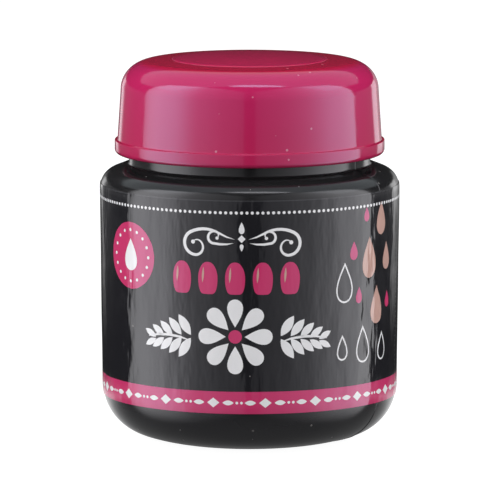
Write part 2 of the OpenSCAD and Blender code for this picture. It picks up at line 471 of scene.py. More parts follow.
def makePartingLine():
    p = partingLine
    whole = bmesh.new()
    for azimuth in p["azimuths"]:
        bm, pen = startPen(jar["pushUpX"], 0)
        drawOutside(bm, pen)
        foot = [v for v in bm.verts if v.co.z < p["start"]]
        bmesh.ops.delete(bm, geom=foot, context="VERTS")
        rotateAll(bm, azimuth - 90 - p["width"])
        spinRound(bm, 4, 2 * p["width"])
        bmesh.ops.recalc_face_normals(bm, faces=bm.faces[:])
        bm.normal_update()
        outward = 1 if sum(f.normal.xy.dot(f.calc_center_median().xy) for f in bm.faces) > 0 else -1
        middle = math.radians(azimuth - 90)
        lifts = {}
        for v in bm.verts:
            off = abs(math.atan2(v.co.y, v.co.x) - middle) % (2 * math.pi)
            off = min(off, 2 * math.pi - off) / math.radians(p["width"])
            lifts[v] = v.normal * outward * (p["height"] * (1 - off) - p["sink"])
        for v, lift in lifts.items():
            v.co += lift
        half = meshFrom(bm, "half")
        whole.from_mesh(half)
        bpy.data.meshes.remove(half)
    makePiece(whole, "partingLine", blackPlastic, "jar", sharpAngle=80)


makePartingLine()

# Threads: a ridge swept up a right-hand helix, that runs out at both ends

threadLook = {"pitch": 4.233 * mm, "stepsPerTurn": 96, "crestAngle": 20, "round": 0.2 * mm}
neckThread = {
    **threadLook, "rootRadius": jar["neckX"] - 0.05 * mm, "height": 0.8 * mm, "foot": 2.3 * mm,
    "crest": 0.9 * mm, "start": 62.0 * mm, "turns": 1.15, "azimuth": -60, "runOut": 0.09, "wallSlope": 0.0,
}
lidThread = {
    **threadLook, "rootRadius": jar["neckX"] + 1.55 * mm, "height": -0.85 * mm, "foot": 1.9 * mm,
    "crest": 0.7 * mm, "start": 59.6 * mm, "turns": 1.1, "azimuth": -50, "runOut": 0.08, "wallSlope": -0.055,
}


def makeThread(t, name, material, body):
    bm, first = startPen(t["rootRadius"], t["start"] - t["foot"] / 2)
    top = t["rootRadius"] + t["height"]
    last = linesTo(
        bm, first, (top, t["start"] - t["crest"] / 2), (top, t["start"] + t["crest"] / 2),
        (t["rootRadius"], t["start"] + t["foot"] / 2))
    bm.edges.new((last, first))
    face = bmesh.ops.contextual_create(bm, geom=bm.edges[:])["faces"]
    rotateAll(bm, t["azimuth"])
    steps = int(t["stepsPerTurn"] * t["turns"])
    ring = face + bm.verts[:] + bm.edges[:]
    rings = [list(bm.verts)]
    for _ in range(steps):
        ring = bmesh.ops.spin(
            bm, geom=ring, cent=(0, 0, 0), axis=(0, 0, 1), angle=2 * math.pi * t["turns"] / steps, steps=1,
            dvec=(0, 0, t["pitch"] * t["turns"] / steps))["geom_last"]
        rings.append(vertsOf(ring))
    for i, verts in enumerate(rings):
        share = min(i, steps - i) / steps / (t["runOut"] / t["turns"])
        depth = math.sin(math.pi / 2 * min(1, share))
        for v in verts:
            arm = Vector((v.co.x, v.co.y))
            root = t["rootRadius"] + t["wallSlope"] * (v.co.z - t["start"])
            v.co.xy = arm.normalized() * (root + (arm.length - t["rootRadius"]) * depth)
    limit = math.radians(t["crestAngle"])
    crests = [e for e in bm.edges if len(e.link_faces) == 2 and e.calc_face_angle(0) > limit]
    bmesh.ops.bevel(
        bm, geom=crests, offset=t["round"], offset_type="OFFSET", affect="EDGES", segments=3, profile=0.5,
        material=-1)
    makePiece(bm, name, material, body, sharpAngle=50)


makeThread(neckThread, "neckThread", blackPlastic, "jar")
makeThread(lidThread, "lidThread", pinkPlastic, "lid")
print("threads made")

# The lid: crown and skirt outside, seat for the liner inside

lidShape = {
    "collarGap": 0.85 * mm,
    "skirtWall": 1.35 * mm,
    "skirtDraft": 0.63 * mm,
    "flangeOut": 0.55 * mm,
    "flangeHeight": 2.7 * mm,
    "flangeRound": 0.9 * mm,
    "flangeFillet": 0.25 * mm,
    "crownDrop": 2 * mm,
    "crownRadius": 6 * mm,
    "crownHeight": 5.5 * mm,
    "crownTurn": 84,
    "domeRise": 0.6 * mm,
    "wall": 1.4 * mm,
    "seatWidth": 2 * mm,
    "linerRoom": 0.15 * mm,
    "stackGap": 0.05 * mm,
    "edgeBreak": 0.3 * mm,
    "steps": 192,
}


def makeLidShell():
    s = lidShape
    insideX = jar["collarX"] + s["collarGap"]
    skirtX = insideX + s["skirtWall"]
    flangeX = skirtX + s["flangeOut"]
    crownX = skirtX - s["skirtDraft"]
    seatZ = linerTop.z + s["stackGap"]
    crownZ = seatZ - s["crownDrop"]
    domeX = crownX - s["crownRadius"]
    topZ = crownZ + s["crownHeight"] + s["domeRise"]
    ball = (domeX ** 2 + s["domeRise"] ** 2) / (2 * s["domeRise"])
    flangeZ = lidLow.z + s["flangeHeight"]
    edge, fillet = s["edgeBreak"] / 2, s["flangeFillet"]
    bm, first = startPen(insideX + s["edgeBreak"], lidLow.z)
    pen = lineTo(bm, first, flangeX - s["flangeRound"], lidLow.z)
    pen = arcAbout(bm, pen, flangeX - s["flangeRound"], lidLow.z + s["flangeRound"], 90, 12)
    pen = lineTo(bm, pen, flangeX, flangeZ - edge)
    pen = arcAbout(bm, pen, flangeX - edge, flangeZ - edge, 90, 6)
    pen = lineTo(bm, pen, skirtX + fillet, flangeZ)
    pen = arcAbout(bm, pen, skirtX + fillet, flangeZ + fillet, -90, 6)
    for share in (0.33, 0.66, 1):
        z = flangeZ + fillet + (crownZ - flangeZ - fillet) * share
        pen = lineTo(bm, pen, skirtX + (crownX - skirtX) * share, z)
    pen = arcAbout(bm, pen, domeX, crownZ, s["crownTurn"], 42, rise=s["crownHeight"] / s["crownRadius"])
    domeTurn = math.asin(domeX / ball)
    pen = lineTo(bm, pen, domeX, topZ - ball + ball * math.cos(domeTurn))
    pen = arcAbout(bm, pen, 0, topZ - ball, math.degrees(domeTurn), 16)
    pen.co.x = 0
    pen = lineTo(bm, pen, 0, topZ - s["wall"])
    seatX = linerTop.x - s["seatWidth"]
    roomX = linerTop.x + s["linerRoom"]
    pen = arcAbout(bm, pen, 0, topZ - ball, -math.degrees(math.asin(seatX / (ball - s["wall"]))), 10)
    pen = linesTo(
        bm, pen, (seatX, seatZ), (roomX, seatZ), (roomX, linerLow.z),
        (crownX - s["wall"], crownZ - s["edgeBreak"]), (insideX, lidLow.z + 2 * s["edgeBreak"]))
    bm.edges.new((pen, first))
    axis = [e for e in bm.edges if max(v.co.x for v in e.verts) < weld]
    bmesh.ops.delete(bm, geom=axis, context="EDGES")
    spinRound(bm, s["steps"])
    shell = makePiece(bm, "lidShell", pinkPlastic, "lid")
    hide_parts("lid")
    return topZ, ball


lidTopZ, domeBall = makeLidShell()
print("lid made")

# The clear disc on the lid

clearDisc = {
    "radius": discTop.x, "thickness": 0.08 * mm, "edge": 0.04 * mm, "steps": 192,
    "rimWidth": 0.14 * mm, "rimRise": 0.072 * mm, "rimOut": 0.01 * mm, "rimFoot": 0.03 * mm,
}
discFilm = glossPlastic("discFilm", {
    **glossLook, "colour": (0.63, 0.018, 0.1), "tone": (0.66, 0.02, 0.108),
    "roughness": 0.05, "bump": 0.1, "markColour": (0.8, 0.5, 0.6), "sheen": (0.5, 1, 1.5)})
# The disc's cut edge is a small raised rim, coloured a lighter pink as a painted highlight along it
discRimHighlight = glossPlastic("discEdgeHighlight", {
    **glossLook, "colour": (0.55, 0.08, 0.17), "tone": (0.6, 0.1, 0.2), "roughness": 0.3})


def makeLidFilm():
    c = clearDisc
    bottom = lidTopZ - domeBall
    rim = math.asin(c["radius"] / domeBall)
    outer = domeBall + c["thickness"]
    edgeX, low = domeBall * math.sin(rim), bottom + domeBall * math.cos(rim)
    bm, pen = startPen(0, bottom + outer)
    pen = arcAbout(bm, pen, 0, bottom, -math.degrees(rim - c["rimWidth"] / domeBall), 14)
    pen = linesTo(bm, pen, (edgeX, low + c["edge"] / 2), (edgeX, low - c["edge"] / 2))
    arcAbout(bm, pen, 0, bottom, math.degrees(rim), 14)
    spinRound(bm, c["steps"])
    film = makePiece(bm, "lidFilm", discFilm, "lid")
    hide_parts("lid_disc")
    outerX = outer * math.sin(rim)
    bm, pen = startPen(outerX - c["rimWidth"], low + c["rimRise"])
    lineTo(bm, pen, outerX + c["rimOut"], low + c["rimFoot"])
    spinRound(bm, c["steps"])
    makePiece(bm, "discRim", discRimHighlight, "lid")


makeLidFilm()

# The label: a film strip wrapped round the body, whose last part lies over its first at the back

labelFilm = {
    "low": labelLow.z,
    "high": labelTop.z,
    "out": labelTop.x - jarTop.x,
    "thickness": 0.07 * mm,
    "overlap": 12,
    "overlapLift": 0.05 * mm,
    "overlapEdge": 4,
    "columnStep": 1.0,
    "rowStep": 0.5 * mm,
    "highlightWidth": 0.25 * mm,
    "highlightDown": 0.01 * mm,
    "ridge": 0.035 * mm,
    "calm": (28, 40),  # Degrees from the front over which the ripples set in
    "rippled": (85, 65),  # and die down, from its second to its first
    "rear": (85, 105),  # and set in again
    "rearShare": 0.6,
    "flatFoot": 4 * mm,
    "flatHead": 3 * mm,
}
filmWaves = {
    "long": {"depth": 0.05 * mm, "around": 1.6, "tall": 11.25 * mm, "shift": (0, 0, 0)},
    "ripple": {"depth": 0.12 * mm, "around": 7, "tall": 9 * mm, "shift": (3.1, 0.4, 7.7)},
    "jitter": {"depth": 0.02 * mm, "around": 16, "tall": 3.5 * mm, "shift": (0, 0, 0)},
}
unrolled = jar["radius"] * math.pi / 180


def bodyRadius(z):
    if z < jar["heelZ"]:
        drop = jar["heelZ"] - z
        return jar["heelX"] - jar["heelRadius"] + math.sqrt(jar["heelRadius"] ** 2 - drop ** 2)
    if z > jar["shoulderZ"]:
        rise = z - jar["shoulderZ"]
        return jar["radius"] - jar["shoulderRadius"] + math.sqrt(jar["shoulderRadius"] ** 2 - rise ** 2)
    share = (z - jar["heelZ"]) / (jar["shoulderZ"] - jar["heelZ"])
    return jar["heelX"] + (jar["radius"] - jar["heelX"]) * share


def waveAt(wave, azimuth, z):
    turn = math.radians(azimuth)
    place = Vector((math.sin(turn) * wave["around"], math.cos(turn) * wave["around"], z / wave["tall"]))
    return wave["depth"] * noise.noise(place + Vector(wave["shift"]))


def between(value, start, end):
    return clamp((value - start) / (end - start))


def filmWave(azimuth, z):
    # Long waves all round, and upright ripples beside the front, where the film was stretched on
    f = labelFilm
    long, ripple, jitter = [waveAt(wave, azimuth, z) for wave in filmWaves.values()]
    side = between(abs(azimuth), *f["calm"]) * between(abs(azimuth), *f["rippled"])
    rear = between(abs(azimuth), *f["rear"])
    wave = long + (ripple + jitter) * max(side, f["rearShare"] * rear)
    edge = clamp((z - f["low"]) / f["flatFoot"]) * clamp((f["high"] - z) / f["flatHead"])
    # The jar's parting line shows through the film
    crease = max(0.0, 1 - min(abs(azimuth - a) for a in partingLine["azimuths"]))
    return wave * edge + f["ridge"] * crease


def wrapOnBody(bm, lift):
    # Flat art has x along the label, y up it, and z from 0 under the ink to 1 on it
    for v in bm.verts:
        azimuth = v.co.x / unrolled
        height = v.co.y
        radius = bodyRadius(height) + labelFilm["out"] + filmWave(azimuth, height) + lift(azimuth, v.co.z)
        turn = math.radians(azimuth)
        v.co = (radius * math.sin(turn), -radius * math.cos(turn), height)


def flatStrip(left, right, low, high, columns, rows):
    bm = bmesh.new()
    bmesh.ops.create_grid(bm, x_segments=columns, y_segments=rows, size=1)
    for v in bm.verts:
        v.co.x = (left + (v.co.x + 1) / 2 * (right - left)) * unrolled
        v.co.y = low + (v.co.y + 1) / 2 * (high - low)
    return bm


def makeLabelFilm():
    f = labelFilm
    columns = round((360 + f["overlap"]) / f["columnStep"])
    rows = round((f["high"] - f["low"]) / f["rowStep"])
    bm = flatStrip(-180, 180 + f["overlap"], f["low"], f["high"], columns, rows)
    wrapOnBody(bm, lambda azimuth, _: f["overlapLift"] * between(azimuth, 180 - f["overlapEdge"], 180))
    bmesh.ops.recalc_face_normals(bm, faces=bm.faces[:])
    film = makePiece(bm, "labelFilm", blackFilm, "jar", sharpAngle=60, recalc=False)
    wall = film.modifiers.new("thickness", "SOLIDIFY")
    wall.thickness = f["thickness"]
    wall.offset = -1
    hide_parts("label")


makeLabelFilm()
print("label film made")

# Printed art: flat shapes, cut along the film's own columns and rows, then wrapped

ink = {"above": 0.014 * mm, "below": -0.012 * mm, "snap": 0.002 * mm, "merge": 0.003 * mm}


def shapeFrom(bm, x, y, width, height, segments, bend=None, turn=0.0):
    made = bmesh.ops.create_circle(bm, cap_ends=True, segments=segments, radius=1)["verts"]
    angle = math.radians(turn)
    for v in made:
        a, b = v.co.x, v.co.y
        if bend:
            a, b = bend(a, b)
        a, b = a * width / 2, b * height / 2
        v.co = (
            x + a * math.cos(angle) - b * math.sin(angle), y + a * math.sin(angle) + b * math.cos(angle), 0)
    return made


dropShape = {"width": 1.25, "power": 0.6}
nailShape = {"tip": 0.8, "base": 0.42, "width": 0.96, "flare": 0.1, "tuck": 0.1}


def dropBend(a, b):
    return a * dropShape["width"] * ((1 - b) / 2) ** dropShape["power"], b


def leafBend(a, b):
    return a * abs(a), b


def nailBend(a, b):
    # A straight-sided nail: round tip above, shallow round base below
    s = nailShape
    side = math.copysign(abs(a) ** (s["base"] if b < 0 else s["tip"]), a)
    return side * (s["width"] - s["flare"] * b * abs(b)) * (1 - s["tuck"] * (b < 0) * b * b), b


def drawShapes(shapes):
    bm = bmesh.new()
    for shape in shapes:
        shapeFrom(bm, *shape)
    return bm


stroke = {"step": 8, "blunt": 0.03, "nib": 0.001 * mm}


def sweepRibbon(bm, x, y, heading, arcs, width):
    # A pen stroke: arcs of (radius, degrees), that turn left where degrees are above 0
    point = Vector((x, y, 0))
    side = Vector((-math.sin(math.radians(heading)), math.cos(math.radians(heading)), 0))
    edge = [bm.verts.new(point + side * stroke["nib"]), bm.verts.new(point - side * stroke["nib"])]
    strip = edge + [bm.edges.new(edge)]
    total = sum(abs(radius * degrees) for radius, degrees in arcs)
    done = 0.0
    for radius, degrees in arcs:
        centre = point + side * radius * (1 if degrees > 0 else -1)
        count = max(2, round(abs(degrees) / stroke["step"]))
        step = math.radians(degrees) / count
        for _ in range(count):
            out = bmesh.ops.spin(bm, geom=strip, cent=centre, axis=(0, 0, 1), angle=step, steps=1)
            strip = out["geom_last"]
            turned = Matrix.Rotation(step, 3, "Z")
            point = centre + turned @ (point - centre)
            side = turned @ side
            done += abs(radius * degrees) / count
            share = min(1 - stroke["blunt"], max(stroke["blunt"], done / total))
            swell = math.sin(math.pi * share) ** 0.5
            for v in vertsOf(strip):
                sign = 1 if (v.co - point).dot(side) > 0 else -1
                v.co = point + side * sign * width * swell / 2
    return point


def makePrint(bm, name, material, cut=True):
    if cut:
        step = unrolled * labelFilm["columnStep"]
        for axis, size in ((0, step), (1, labelFilm["rowStep"] * 2)):
            low = min(v.co[axis] for v in bm.verts)
            high = max(v.co[axis] for v in bm.verts)
            normal = (1, 0, 0) if axis == 0 else (0, 1, 0)
            for k in range(math.ceil(low / size), math.floor(high / size) + 1):
                bmesh.ops.bisect_plane(
                    bm, geom=allOf(bm), dist=ink["snap"], plane_co=[n * k * size for n in normal],
                    plane_no=normal)
    bmesh.ops.remove_doubles(bm, verts=bm.verts[:], dist=ink["merge"])
    top = bmesh.ops.extrude_face_region(bm, geom=bm.faces[:])["geom"]
    for v in vertsOf(top):
        v.co.z = 1
    wrapOnBody(bm, lambda azimuth, side: ink["above"] if side > 0.5 else ink["below"])
    return makePiece(bm, name, material, "jar")


def makeRaisedPrint(bm, name, material):
    # A second ink, laid over the first
    kept = dict(ink)
    ink.update(above=kept["above"] * 2, below=0)
    makePrint(bm, name, material)
    ink.update(kept)


dotRow = {"height": 47.8 * mm, "count": 180, "size": 0.6 * mm}
seamDots = {"azimuth": 78, "low": 15.2 * mm, "high": 45.5 * mm, "pitch": 0.95 * mm, "size": 0.38 * mm}
band = {"low": 9.1 * mm, "high": 13.4 * mm, "reach": 179.9}
bandMarks = {
    "first": -174, "every": 20, "diamond": (2.4 * mm, 1.9 * mm), "leaf": (0.95 * mm, 2.2 * mm),
    "leafOut": 2.9 * mm, "dot": 0.55 * mm, "dotOut": 4.6 * mm,
}


def printDots():
    d, s = dotRow, seamDots
    places = [(k + 0.5 - d["count"] / 2) * 360 / d["count"] * unrolled for k in range(d["count"])]
    dots = [(x, d["height"], d["size"], d["size"], 12) for x in places]
    makePrint(drawShapes(dots), "dotRow", whiteInk, cut=False)
    places = [s["low"] + k * s["pitch"] for k in range(int((s["high"] - s["low"]) / s["pitch"]))]
    dots = [(s["azimuth"] * unrolled, y, s["size"], s["size"], 10) for y in places]
    makePrint(drawShapes(dots), "seamDots", greyInk, cut=False)
    # A lighter strip along the film's top edge: a painted highlight where the cut edge catches the light
    top = labelFilm["high"] - labelFilm["highlightDown"]
    bm = flatStrip(-band["reach"], band["reach"], top - labelFilm["highlightWidth"], top, 360, 1)
    makePrint(bm, "filmEdgeHighlight", edgeHighlightFilm, cut=False)


def printBand():
    rows = round((band["high"] - band["low"]) / labelFilm["rowStep"])
    bm = flatStrip(-band["reach"], band["reach"], band["low"], band["high"], 360, rows)
    makePrint(bm, "pinkBand", pinkInk, cut=False)
    bm = bmesh.new()
    b = bandMarks
    middle = (band["low"] + band["high"]) / 2
    for k in range(int(360 / b["every"])):
        centre = (k * b["every"] + b["first"]) * unrolled
        shapeFrom(bm, centre, middle, *b["diamond"], 4)
        for side in (-1, 1):
            shapeFrom(bm, centre + side * b["leafOut"], middle, *b["leaf"], 24, leafBend, 90)
            shapeFrom(bm, centre + side * b["dotOut"], middle, b["dot"], b["dot"], 12)
    makeRaisedPrint(bm, "bandMarks", whiteInk)


# The front: a scroll, a row of nails, and a rosette between two sprays of leaves
# The scroll gives the starts and radii of its strokes and its middle shapes as numbers of mm

scroll = {
    "azimuth": -3,
    "height": 43.4 * mm,
    "strokes": [
        {"start": (1.3, -0.7), "heading": 12, "width": 0.62 * mm, "ball": 0.8 * mm,
         "arcs": [(10, 18), (6, -58), (2.3, -150), (1.5, -150), (0.95, -90)]},
        {"start": (1.5, -1.4), "heading": -14, "width": 0.496 * mm, "ball": 0.65 * mm,
         "arcs": [(9, 26), (1.15, 190), (0.7, 120)]},
    ],
    "middle": [
        (-0.6, 1.5, 1.5, 4, None, 0), (1.5, 1.2, 2.3, 20, dropBend, 0), (-2.3, 0.8, 1.4, 20, dropBend, 180)],
}
nailRow = {
    "azimuth": -5.5, "height": 35.2 * mm, "count": 5, "pitch": 5.3 * mm, "size": (4.0 * mm, 6.2 * mm),
    "gloss": (0.42 * mm, 3.0 * mm), "glossPlace": (-0.96 * mm, 0.62 * mm), "glossLean": -4,
}
rosette = {
    "azimuth": -5.5, "height": 24.0 * mm, "petals": 8, "reach": 4.5 * mm, "size": (3.3 * mm, 5.4 * mm),
    "heart": 2.6 * mm,
}
spray = {
    "start": (8.0 * mm, -1.2 * mm), "stem": 0.5 * mm, "stemStart": (0.5 * mm, 0.1 * mm), "stemHeading": 20,
    "stemArc": (16 * mm, -36), "leaves": 5, "leaf": (1.9 * mm, 4.6 * mm), "first": (0.6 * mm, 1.0 * mm),
    "pitch": 1.927 * mm, "lean": 34, "leanStep": 7, "taper": 0.09, "gap": 0.35 * mm, "sag": 0.05 * mm,
}


def printScroll():
    bm = bmesh.new()
    x, y = scroll["azimuth"] * unrolled, scroll["height"]
    for side in (-1, 1):
        level = 0 if side == 1 else 180
        for pull in scroll["strokes"]:
            across, up = pull["start"]
            arcs = [(radius * mm, degrees * side) for radius, degrees in pull["arcs"]]
            end = sweepRibbon(
                bm, x + side * across * mm, y + up * mm, level + pull["heading"] * side, arcs, pull["width"])
            shapeFrom(bm, end.x, end.y, pull["ball"], pull["ball"], 16)
    for up, width, height, segments, bend, turn in scroll["middle"]:
        shapeFrom(bm, x, y + up * mm, width * mm, height * mm, segments, bend, turn)
    makePrint(bm, "scrollPrint", whiteInk)


def printNails():
    n = nailRow
    middles = [n["azimuth"] * unrolled + (k - (n["count"] - 1) / 2) * n["pitch"] for k in range(n["count"])]
    nails = [(x, n["height"], *n["size"], 40, nailBend) for x in middles]
    makePrint(drawShapes(nails), "nailPrint", pinkInk)
    across, up = n["glossPlace"]
    gloss = [(x + across, n["height"] + up, *n["gloss"], 20, leafBend, n["glossLean"]) for x in middles]
    makeRaisedPrint(drawShapes(gloss), "nailGloss", blushInk)


def drawSpray(bm, x, y, side):
    s = spray
    baseX, baseY = x + side * s["start"][0], y + s["start"][1]
    heading = s["stemHeading"] if side == 1 else 180 - s["stemHeading"]
    radius, degrees = s["stemArc"]
    stemX, stemY = s["stemStart"]
    sweepRibbon(bm, baseX + side * stemX, baseY + stemY, heading, [(radius, degrees * side)], s["stem"])
    width, height = s["leaf"]
    firstX, firstY = s["first"]
    for k in range(s["leaves"]):
        footX = baseX + side * (firstX + k * s["pitch"])
        footY = baseY + firstY - s["sag"] * k * k
        lean = s["lean"] + s["leanStep"] * k
        scale = 1 - s["taper"] * k
        rise = height * scale / 2 + s["gap"]
        for turn in (-side * lean, 180 + side * lean):
            a = math.radians(turn)
            shapeFrom(
                bm, footX - math.sin(a) * rise, footY + math.cos(a) * rise, width * scale, height * scale,
                24, leafBend, turn)


def printRosette():
    x, y = rosette["azimuth"] * unrolled, rosette["height"]
    reach = rosette["reach"]
    petals = []
    for k in range(rosette["petals"]):
        angle = 360 * k / rosette["petals"]
        a = math.radians(angle)
        petals.append((
            x - reach * math.sin(a), y + reach * math.cos(a), *rosette["size"], 28, dropBend, angle + 180))
    makePrint(drawShapes(petals), "rosettePrint", whiteInk)
    heart = (x, y, rosette["heart"], rosette["heart"], 24)
    makePrint(drawShapes([heart]), "rosetteHeart", pinkInk)
    bm = bmesh.new()
    for side in (-1, 1):
        drawSpray(bm, x, y, side)
    makePrint(bm, "sprayPrint", whiteInk)


badge = {
    "azimuth": -51.9, "height": 38.2 * mm, "size": 12.9 * mm, "drop": (4.0 * mm, 6.2 * mm),
    "dropUp": 0.2 * mm, "ringDots": 16, "ringShare": 0.385, "dot": 0.62 * mm,
}


def printBadge():
    b = badge
    x, y = b["azimuth"] * unrolled, b["height"]
    makePrint(drawShapes([(x, y, b["size"], b["size"], 72)]), "badgePrint", pinkInk)
    marks = [(x, y + b["dropUp"], *b["drop"], 36, dropBend)]
    reach = b["size"] * b["ringShare"]
    for k in range(b["ringDots"]):
        a = 2 * math.pi * k / b["ringDots"]
        marks.append((x + reach * math.cos(a), y + reach * math.sin(a), b["dot"], b["dot"], 12))
    makeRaisedPrint(drawShapes(marks), "badgeMarks", whiteInk)


# Drops that fall across the right of the label: azimuth in degrees, then height, width and length in mm

sideDrops = {
    "blush": [(60.5, 45.0, 3.6, 6.4), (52.5, 37.8, 4.6, 8.0), (65.0, 37.5, 3.0, 5.4), (57.5, 28.4, 4.2, 7.4)],
    "pink": [(43.5, 39.5, 2.1, 3.6), (46.5, 30.8, 1.8, 3.2), (66.0, 29.0, 1.8, 3.2), (50.5, 46.2, 1.6, 2.8)],
    "ring": [(39.0, 33.5, 4.4, 7.8), (49.0, 21.2, 4.2, 7.2), (38.0, 21.0, 2.8, 5.0), (61.5, 20.2, 3.2, 5.6)],
    "line": 0.32,
    "lineDown": 0.5,
    "lineShort": 3,
}


def printDrops():
    for name, material in (("blush", blushInk), ("pink", pinkInk)):
        drops = [(a * unrolled, z * mm, w * mm, h * mm, 36, dropBend) for a, z, w, h in sideDrops[name]]
        makePrint(drawShapes(drops), name + "Drops", material)
    bm = bmesh.new()
    for azimuth, height, width, tall in sideDrops["ring"]:
        loops = set()
        for inset in (0, sideDrops["line"]):
            made = shapeFrom(
                bm, azimuth * unrolled, (height - inset * sideDrops["lineDown"]) * mm,
                (width - 2 * inset) * mm, (tall - sideDrops["lineShort"] * inset) * mm, 40, dropBend)
            bmesh.ops.delete(bm, geom=made[0].link_faces[:], context="FACES_ONLY")
            loops.update(e for v in made for e in v.link_edges)
        bmesh.ops.bridge_loops(bm, edges=list(loops))
    makePrint(bm, "ringDrops", whiteInk)


printDots()
printBand()
printScroll()
printNails()
printRosette()
printBadge()
printDrops()
print("label art made")

# The sponge: foam with a finger hole and slits, seen once the lid is off

foam = {
    "side": spongeTop.x, "floor": spongeLow.z, "top": spongeTop.z, "inset": 0.25 * mm, "steps": 96,
    "heel": [(12, 0.25), (4, 3.4), (3.906, 3.4357), (0, 10)],
    "round": 2 * mm, "hole": 7.5 * mm, "holeFloor": 11.85 * mm,
    "slits": 4, "firstSlit": 45, "slitIn": 3 * mm, "slitReach": 15.5 * mm, "slitWidth": 0.8 * mm,
    "slitStart": 13.85 * mm, "slitOver": 4 * mm,
    "voxel": 0.55 * mm, "pore": 0.28 * mm, "poreScale": 1.5 * mm, "poreEdge": 0.45,
    "swell": 0.18 * mm, "swellScale": 9 * mm,
}
foamLook = {
    "shader": {"Roughness": 0.95, "Specular IOR Level": 0.2, "Sheen Weight": 0.15},
    # pit is the darker pink of the painted shade inside the pores
    "low": (0.72, 0.3, 0.42), "high": (0.8, 0.4, 0.52), "toneRange": (0.35, 0.65),
    "pit": (0.5, 0.17, 0.27), "poreShadeRange": (0.25, 0.6), "cells": 1600, "cloud": 120.0, "grain": 700.0,
    "bump": 0.8, "bumpDepth": 0.25 * mm,
}


def foamMaterial():
    material, tree, shader = newMaterial("pinkFoam", foamLook["shader"])
    place = mapped(tree)
    cells = cellPattern(tree, place, foamLook["cells"], "SMOOTH_F1")
    cloud = placeGroup(tree, mouldedSkin, place, Scale=foamLook["cloud"], Fine=foamLook["grain"])
    mottle = ramp(tree, cloud.outputs["Tone"], *foamLook["toneRange"])
    toned = mixColour(tree, mottle, foamLook["low"], foamLook["high"])
    # Painted shade: the colour darkens to the pit pink in the middle of each pore
    outsidePoreShade = ramp(tree, cells, *foamLook["poreShadeRange"])
    tree.links.new(mixColour(tree, outsidePoreShade, foamLook["pit"], toned), shader.inputs["Base Color"])
    addBump(tree, shader, cells, foamLook["bump"], foamLook["bumpDepth"])
    return material


def drawFoam(s):
    side = s["side"] - s["inset"]
    bm, pen = startPen(0, s["floor"] + s["inset"])
    pen = linesTo(bm, pen, *[(side - inward * mm, s["floor"] + up * mm) for inward, up in s["heel"]])
    edge = s["round"]
    top = s["top"] - s["inset"]
    pen = lineTo(bm, pen, side, top - edge)
    pen = arcAbout(bm, pen, side - edge, top - edge, 90, 6)
    pen = lineTo(bm, pen, s["hole"] + edge, top)
    pen = arcAbout(bm, pen, s["hole"] + edge, top - edge, 90, 6)
    pen = lineTo(bm, pen, s["hole"], s["holeFloor"] + edge)
    pen = arcAbout(bm, pen, s["hole"] - edge, s["holeFloor"] + edge, -90, 6)
    lineTo(bm, pen, 0, s["holeFloor"])
    spinRound(bm, s["steps"])
    return bm


def slitKnife(s):
    bm = bmesh.new()
    reach = s["slitReach"] - s["slitIn"]
    tall = s["top"] - s["slitStart"] + s["slitOver"]
    place = Matrix.Translation((s["slitIn"] + reach / 2, 0, s["slitStart"] + tall / 2))
    for k in range(s["slits"]):
        turn = Matrix.Rotation(math.radians(s["firstSlit"] + 360 * k / s["slits"]), 4, "Z")
        bmesh.ops.create_cube(
            bm, size=1, matrix=turn @ place @ Matrix.Diagonal((reach, s["slitWidth"], tall, 1)))
    return addObject("slitKnife", meshFrom(bm, "slitKnife"))


def makeSponge():
    s = foam
    sponge = makePiece(drawFoam(s), "foamSponge", foamMaterial(), "jar")
    cutter = slitKnife(s)
    cut = sponge.modifiers.new("slits", "BOOLEAN")
    cut.object = cutter
    cut.solver = "EXACT"
    grid = sponge.modifiers.new("cells", "REMESH")
    grid.mode = "VOXEL"
    grid.voxel_size = s["voxel"]
    bpy.context.view_layer.update()
    made = bpy.data.meshes.new_from_object(sponge.evaluated_get(bpy.context.evaluated_depsgraph_get()))
    sponge.modifiers.clear()
    sponge.data = made
    bpy.data.objects.remove(cutter)
    bm = bmesh.new()
    bm.from_mesh(made)
    bm.normal_update()
    moves = []
    for v in bm.verts:
        near = noise.voronoi(v.co / s["poreScale"])[0]
        pit = max(0.0, s["poreEdge"] - near[0]) / s["poreEdge"]
        soft = noise.noise(v.co / s["swellScale"])
        moves.append(v.normal * (soft * s["swell"] - pit * s["pore"]))
    for v, move in zip(bm.verts, moves):
        v.co += move
    for face in bm.faces:
        face.smooth = True
    bm.to_mesh(made)
    bm.free()
    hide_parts("sponge")


makeSponge()
print("sponge made")

# The seal and the liner between the mouth and the lid

sealFoil = {
    "radius": sealTop.x, "base": sealLow.z, "thickness": 0.2 * mm, "edgeIn": 0.02 * mm,
    "edgeHeight": 0.16 * mm, "rollWidth": 1.8 * mm, "tab": 0.1 * mm, "tabIn": 0.1 * mm,
    "tabSink": 0.01 * mm, "fold": 3 * mm, "steps": 128,
}
foilLook = {
    "shader": {"Metallic": 1.0, "Roughness": 0.28}, "low": (0.72, 0.72, 0.74), "high": (0.86, 0.86, 0.87),
    "rolled": (1, 0.08, 1), "streak": 700.0, "grain": 3000.0, "crease": 160.0, "creaseGrain": 1200.0,
    "bump": 0.35, "bumpDepth": 0.2 * mm,
}
linerDisc = {
    "radius": linerTop.x, "low": linerLow.z, "high": linerTop.z, "edgeUp": 0.02 * mm, "steps": 128,
    "pressed": 0.12 * mm, "pressFrom": -1.1 * mm, "pressIn": -0.8 * mm, "pressOut": 0.7 * mm,
}
linerLook = {
    "shader": {"Roughness": 0.75}, "low": (0.82, 0.82, 0.8), "high": (0.88, 0.88, 0.87), "cells": 2600,
    "cloud": 90.0, "grain": 800.0, "bump": 0.4, "bumpDepth": 0.1 * mm,
}


